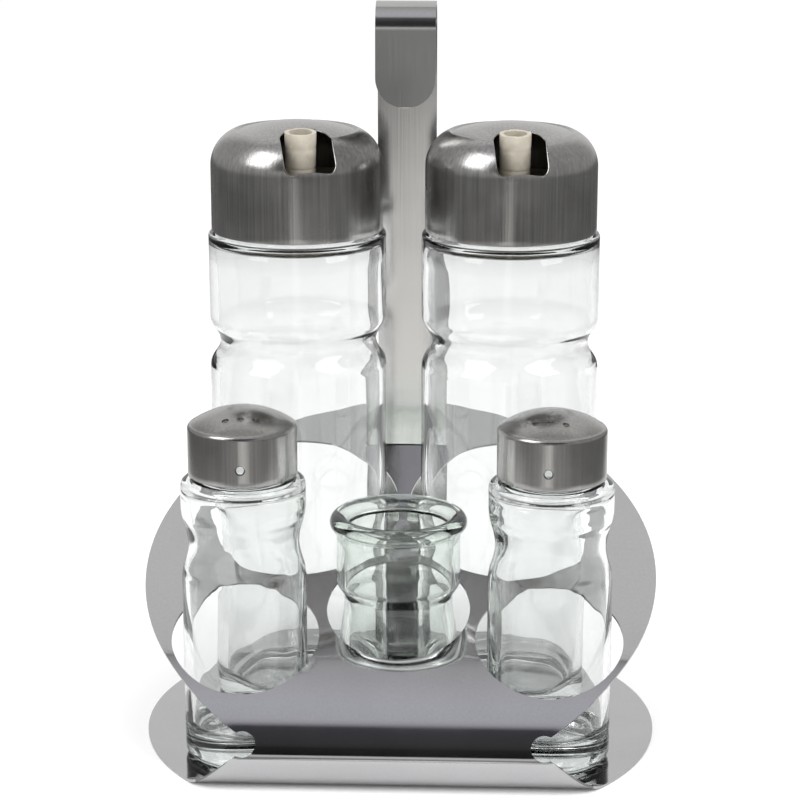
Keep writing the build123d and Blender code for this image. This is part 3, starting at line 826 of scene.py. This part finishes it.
lid = {"wall": 0.5, "sideHeight": 14.6, "shoulder": 1.6, "curl": 0.1, "holeRadius": 1.05,
       "holePitch": 4.6, "holeOffset": 9.1, "holes": 3, "lugs": 3, "lugRadius": 1.7, "lugPlay": 0.27,
       "lugHeight": 5.6, "drillDepth": 10, "holeSteps": 32, "lugSteps": 32, "steps": 128,
       "turn": {"left": 3.0, "right": -4.5}}


def ball(radius, place, steps):
    bm = bmesh.new()
    bmesh.ops.create_uvsphere(bm, u_segments=steps, v_segments=steps // 2, radius=radius)
    bmesh.ops.translate(bm, vec=place, verts=bm.verts)
    return looseObject("ball", bm)


def buildLid(side):
    node = f"shaker_cap_{side}"
    low, high = nodeBox(node)
    x, y = nodeAxis(node)
    radius = (high.x - low.x) / 2
    profile = shellProfile(radius, lid["wall"], low.z, low.z + lid["sideHeight"], high.z,
                           lid["shoulder"], lid["curl"])
    piece = looseObject(f"shakerCap_{side}", lathe(profile, lid["steps"]))
    out = shaker["neckRadius"] + lid["lugPlay"] + lid["wall"] + lid["lugRadius"]
    for i in range(lid["lugs"]):
        a = math.tau * i / lid["lugs"]
        place = (out * math.sin(a), -out * math.cos(a), low.z + lid["lugHeight"])
        cut(piece, ball(lid["lugRadius"], place, lid["lugSteps"]))
    for i in range(lid["holes"]):
        hole = ((i - (lid["holes"] - 1) / 2) * lid["holePitch"], -lid["holeOffset"], high.z)
        cut(piece, roundCutter(lid["holeRadius"], lid["drillDepth"], Matrix.Translation(hole), lid["holeSteps"]))
    return finished(piece, lidSteel, f"shaker_closure_{side}", node, x=x, y=y,
                    turn=lid["turn"][side])


buildSheet()
buildHandle()
print("stand built")
buildCup()
for side in sides:
    buildNecked(f"bottle_glass_{side}", f"bottleGlass_{side}", bottle, bottleGlassFinish,
                f"bottle_{side}")
    buildNecked(f"shaker_glass_{side}", f"shakerGlass_{side}", shaker, shakerGlassFinish,
                f"shaker_{side}")
print("glasses built")
for side in sides:
    buildCap(side)
    buildPourer(side)
    buildLid(side)
print("caps and pourers built")


# stage: floor, studio, lamps and camera

def level(value):
    return value, value, value


# the stripe, bright, dim and light-edge sizes place the floor's painted reflections; worldHalf places the painted
# side reflection
stageSizes = {"floor": 6.0, "floorColour": 0.985, "floorRough": 0.9, "lightEdge": -0.17, "paintedStripe": -0.005,
              "paintedStripeHalf": 0.055, "brightHalf": 0.26, "dimHalf": 0.24, "worldHalf": 0.45, "softEdge": 0.2}
# painted reflections: the floor's colours that only metal mirrors, light and dark bands in place of surroundings;
# across distance in metres, colours
paintedFloorReflections = {"under": level(0.68), "beside": level(0.12),
              "paintedStripe": ((-3, (0.34, 0.34, 0.36)), (-1.6, (0.34, 0.34, 0.36)), (-1.4, (0.7, 0.69, 0.67)),
                         (-0.3, (0.7, 0.69, 0.67)), (-0.2, level(0.3)), (3, level(0.3))),
              "ahead": ((-3, level(0.02)), (-0.85, level(0.03)), (-0.65, level(0.14)), (-0.4, level(0.24)),
                        (3, level(0.2)))}
# painted reflections: what metal mirrors of the world, a studio painted light behind and above and dark towards the
# front; degrees from the back horizon over the top to the front, colours
paintedStudioReflections = ((-180, level(0.3)), (-165, level(0.34)), (-150, level(0.7)), (0, level(0.8)), (30, level(0.7)),
               (72, (0.72, 0.72, 0.71)), (72.6, (0.16, 0.15, 0.13)), (74.5, (0.36, 0.36, 0.36)),
               (82, (0.46, 0.46, 0.47)), (92, (0.5, 0.5, 0.52)), (100, (0.54, 0.54, 0.56)),
               (112, (0.56, 0.56, 0.61)), (123, (0.54, 0.54, 0.58)), (126, (0.4, 0.4, 0.43)),
               (127.5, (0.06, 0.06, 0.07)), (140, level(0.045)), (144, level(0.02)), (166, level(0.012)),
               (168, level(0.68)), (172, level(0.68)), (176, level(0.3)), (180, level(0.3)))
# painted reflection that metal sees to the sides
paintedSideReflection = level(0.36)
lamps = {"keyLeft": {"place": (-0.7, -0.5, 0.9), "power": 5, "mirrored": True},
         "keyRight": {"place": (0.8, -0.4, 0.8), "power": 6, "mirrored": False}}
lampSizes = {"width": 0.6, "height": 0.8, "target": (0, 0, 0.1)}
view = {"right": (0.99916, 0.04086, 0), "up": (-0.01083, 0.26476, 0.96425), "back": (0.0394, -0.96345, 0.26498),
        "place": (32.05, -787.34, 325.32), "lens": 116.435, "sensor": 36}


def masked(nodes, links, source, middle, half):
    # 1 within half a width of the middle, falling to 0 at a soft edge
    away = nodes.new("ShaderNodeMath")
    away.operation = "SUBTRACT"
    away.inputs[1].default_value = middle
    links.new(source, away.inputs[0])
    size = nodes.new("ShaderNodeMath")
    size.operation = "ABSOLUTE"
    links.new(away.outputs["Value"], size.inputs[0])
    edge = nodes.new("ShaderNodeMapRange")
    edge.inputs["From Min"].default_value = half * (1 + stageSizes["softEdge"])
    edge.inputs["From Max"].default_value = half * (1 - stageSizes["softEdge"])
    links.new(size.outputs["Value"], edge.inputs["Value"])
    return edge.outputs["Result"]


def mixed(nodes, links, factor, first, second):
    # colours or sockets, blended by a factor socket
    node = nodes.new("ShaderNodeMix")
    node.data_type = "RGBA"
    links.new(factor, node.inputs["Factor"])
    for socket, value in ((node.inputs["A"], first), (node.inputs["B"], second)):
        if isinstance(value, tuple):
            socket.default_value = (*value, 1)
        else:
            links.new(value, socket)
    return node.outputs["Result"]


def mirrorRays(nodes, links):
    # 1 for what metal and gloss mirror, 0 for what is seen directly or through glass
    path = nodes.new("ShaderNodeLightPath")
    only = nodes.new("ShaderNodeMath")
    only.operation = "SUBTRACT"
    only.use_clamp = True
    links.new(path.outputs["Is Glossy Ray"], only.inputs[0])
    links.new(path.outputs["Is Transmission Ray"], only.inputs[1])
    return only.outputs["Value"]


def stretched(nodes, links, source, stops):
    # a colour ramp over any range, from its first stop to its last
    low, high = stops[0][0], stops[-1][0]
    scaled = nodes.new("ShaderNodeMapRange")
    scaled.inputs["From Min"].default_value = low
    scaled.inputs["From Max"].default_value = high
    links.new(source, scaled.inputs["Value"])
    return ramp(nodes, links, scaled.outputs["Result"],
                [((place - low) / (high - low), colour) for place, colour in stops])


def buildFloor():
    # white paper; only metal sees painted reflections on it: a light patch under the object, painted darkness round
    # it and a painted light stripe in front
    bm = bmesh.new()
    bmesh.ops.create_grid(bm, x_segments=1, y_segments=1, size=stageSizes["floor"] / 2)
    floor = looseObject("floor", bm)
    material, nodes, links, shader = newMaterial("floorPaperWithPaintedReflections")
    place = nodes.new("ShaderNodeTexCoord")
    parts = nodes.new("ShaderNodeSeparateXYZ")
    links.new(place.outputs["Object"], parts.inputs["Vector"])
    paintedStripe = stretched(nodes, links, parts.outputs["Y"], paintedFloorReflections["paintedStripe"])
    dim = stretched(nodes, links, parts.outputs["Y"], paintedFloorReflections["ahead"])
    under = nodes.new("ShaderNodeMath")
    under.operation = "GREATER_THAN"
    under.inputs[1].default_value = stageSizes["lightEdge"]
    links.new(parts.outputs["Y"], under.inputs[0])
    paintedStripeMask = masked(nodes, links, parts.outputs["X"], stageSizes["paintedStripe"], stageSizes["paintedStripeHalf"])
    nearMask = masked(nodes, links, parts.outputs["X"], 0, stageSizes["brightHalf"])
    dimMask = masked(nodes, links, parts.outputs["X"], 0, stageSizes["dimHalf"])
    beside = paintedFloorReflections["beside"]
    ahead = mixed(nodes, links, paintedStripeMask, mixed(nodes, links, dimMask, beside, dim), paintedStripe)
    near = mixed(nodes, links, nearMask, beside, paintedFloorReflections["under"])
    seen = mixed(nodes, links, under.outputs["Value"], ahead, near)
    # painted reflections for mirror rays only; every other ray sees plain white paper
    links.new(mixed(nodes, links, mirrorRays(nodes, links), level(stageSizes["floorColour"]), seen),
              shader.inputs["Base Color"])
    shader.inputs["Roughness"].default_value = stageSizes["floorRough"]
    shader.inputs["Specular IOR Level"].default_value = 0
    floor.data.materials.append(material)


def buildWorld():
    # white behind the object; metal sees painted reflections instead, a studio painted with a dark side towards the
    # camera
    world = bpy.data.worlds.new("studio")
    bpy.context.scene.world = world
    world.use_nodes = True
    nodes, links = world.node_tree.nodes, world.node_tree.links
    nodes.clear()
    out = nodes.new("ShaderNodeOutputWorld")
    place = nodes.new("ShaderNodeTexCoord")
    parts = nodes.new("ShaderNodeSeparateXYZ")
    links.new(place.outputs["Generated"], parts.inputs["Vector"])
    turn = nodes.new("ShaderNodeMath")
    turn.operation = "ARCTAN2"
    links.new(parts.outputs["Z"], turn.inputs[0])
    links.new(parts.outputs["Y"], turn.inputs[1])
    degrees = nodes.new("ShaderNodeMath")
    degrees.operation = "DEGREES"
    links.new(turn.outputs["Value"], degrees.inputs[0])
    seen = stretched(nodes, links, degrees.outputs["Value"], paintedStudioReflections)
    sideMask = masked(nodes, links, parts.outputs["X"], 0, stageSizes["worldHalf"])
    seen = mixed(nodes, links, sideMask, paintedSideReflection, seen)
    # this background carries the painted reflections and is shown to mirror rays only
    metal = nodes.new("ShaderNodeBackground")
    links.new(seen, metal.inputs["Color"])
    plain = nodes.new("ShaderNodeBackground")
    plain.inputs["Color"].default_value = (1, 1, 1, 1)
    mix = nodes.new("ShaderNodeMixShader")
    links.new(mirrorRays(nodes, links), mix.inputs["Fac"])
    links.new(plain.outputs["Background"], mix.inputs[1])
    links.new(metal.outputs["Background"], mix.inputs[2])
    links.new(mix.outputs["Shader"], out.inputs["Surface"])


def softbox(name, place, power, mirrored):
    light = bpy.data.lights.new(name, "AREA")
    light.shape = "RECTANGLE"
    light.size, light.size_y = lampSizes["width"], lampSizes["height"]
    light.energy = power
    lamp = bpy.data.objects.new(name, light)
    lamp.location = place
    lamp.rotation_euler = (Vector(lampSizes["target"]) - Vector(place)).to_track_quat("-Z", "Y").to_euler()
    lamp.visible_glossy = mirrored
    bpy.context.scene.collection.objects.link(lamp)


def buildCamera():
    turn = Matrix((view["right"], view["up"], view["back"])).transposed().to_4x4()
    data = bpy.data.cameras.new("camera")
    data.lens = view["lens"]
    data.sensor_width = view["sensor"]
    camera = bpy.data.objects.new("camera", data)
    camera.matrix_world = Matrix.Translation(Vector(view["place"]) * mm) @ turn
    bpy.context.scene.collection.objects.link(camera)
    bpy.context.scene.camera = camera


buildFloor()
buildWorld()
for name, sizes in lamps.items():
    softbox(name, **sizes)
buildCamera()
bpy.context.scene.view_settings.view_transform = "Standard"
print("stage set")
